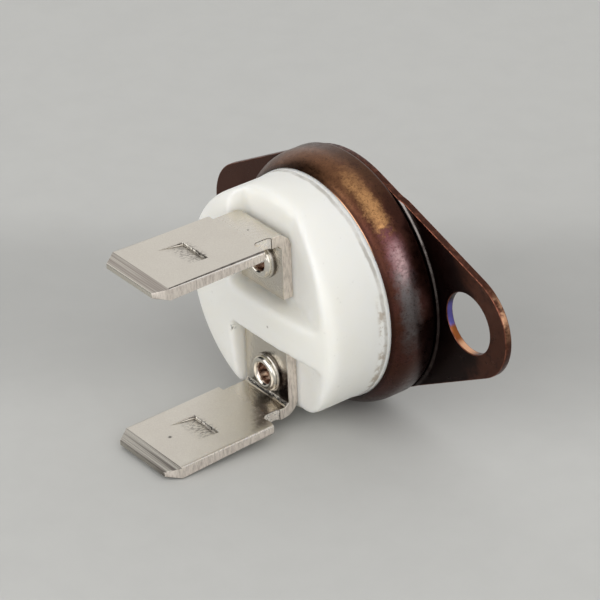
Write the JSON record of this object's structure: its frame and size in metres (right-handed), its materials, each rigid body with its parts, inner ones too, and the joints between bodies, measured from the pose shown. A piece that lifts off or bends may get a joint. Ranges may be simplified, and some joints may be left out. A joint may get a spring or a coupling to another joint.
{
  "type": "bimetal thermostat",
  "caption": "Snap-action disc temperature switch: round ceramic body in a rolled copper cap, two-ear mounting flange, two upright push-on tabs.",
  "frame": {"origin": "centre of the flat sensing face, which lies on z = 0", "axes": "+Z along the round body's axis towards the tabs, X through the two ear holes, +Y towards the upper tab in the picture"},
  "size_m": [0.0314, 0.0178, 0.0186],
  "materials": {
    "ceramic_body": "unglazed white ceramic, satin",
    "sensing_cap": "heat-tinted copper",
    "mounting_flange": "heat-tinted copper",
    "terminal_a": "nickel plate, satin",
    "terminal_b": "nickel plate, satin",
    "rivet_a": "nickel plate, bright",
    "rivet_b": "nickel plate, bright",
    "bimetal_disc": "rolled strip",
    "guide_plate": "unglazed ceramic",
    "push_pin": "unglazed ceramic",
    "spring_leaf": "rolled spring strip",
    "moving_contact": "silver contact",
    "contact_carrier": "pressed strip",
    "fixed_contact": "silver contact"
  },
  "bodies": {
    "case": {"ceramic_body": "ceramic_body", "sensing_cap": "sensing_cap", "mounting_flange": "mounting_flange", "terminal_a": "terminal_a", "terminal_b": "terminal_b", "rivet_a": "rivet_a", "rivet_b": "rivet_b", "bimetal_disc": "bimetal_disc", "guide_plate": "guide_plate", "contact_carrier": "contact_carrier", "fixed_contact": "fixed_contact"},
    "push_pin": {"push_pin": "push_pin"},
    "contact_arm": {"spring_leaf": "spring_leaf", "moving_contact": "moving_contact"}
  },
  "joints": [
    {"name": "pin_slide", "type": "slide", "parent": "case", "child": "push_pin", "axis": [0, 0, 1], "range_m": [0, 0.00035], "deforming": ["bimetal_disc"]},
    {"name": "arm_hinge", "type": "hinge", "parent": "case", "child": "contact_arm", "pos_m": [-0.00031, -0.00366, 0.00317], "axis": [0.9965, -0.0837, 0], "range_deg": [0, 5.7], "stiffness_Nm_per_rad": 0.00001, "deforming": ["spring_leaf"]}
  ],
  "couplings": [
    {"joint": "arm_hinge", "follows": "pin_slide", "rad_per_m": 272.5}
  ]
}
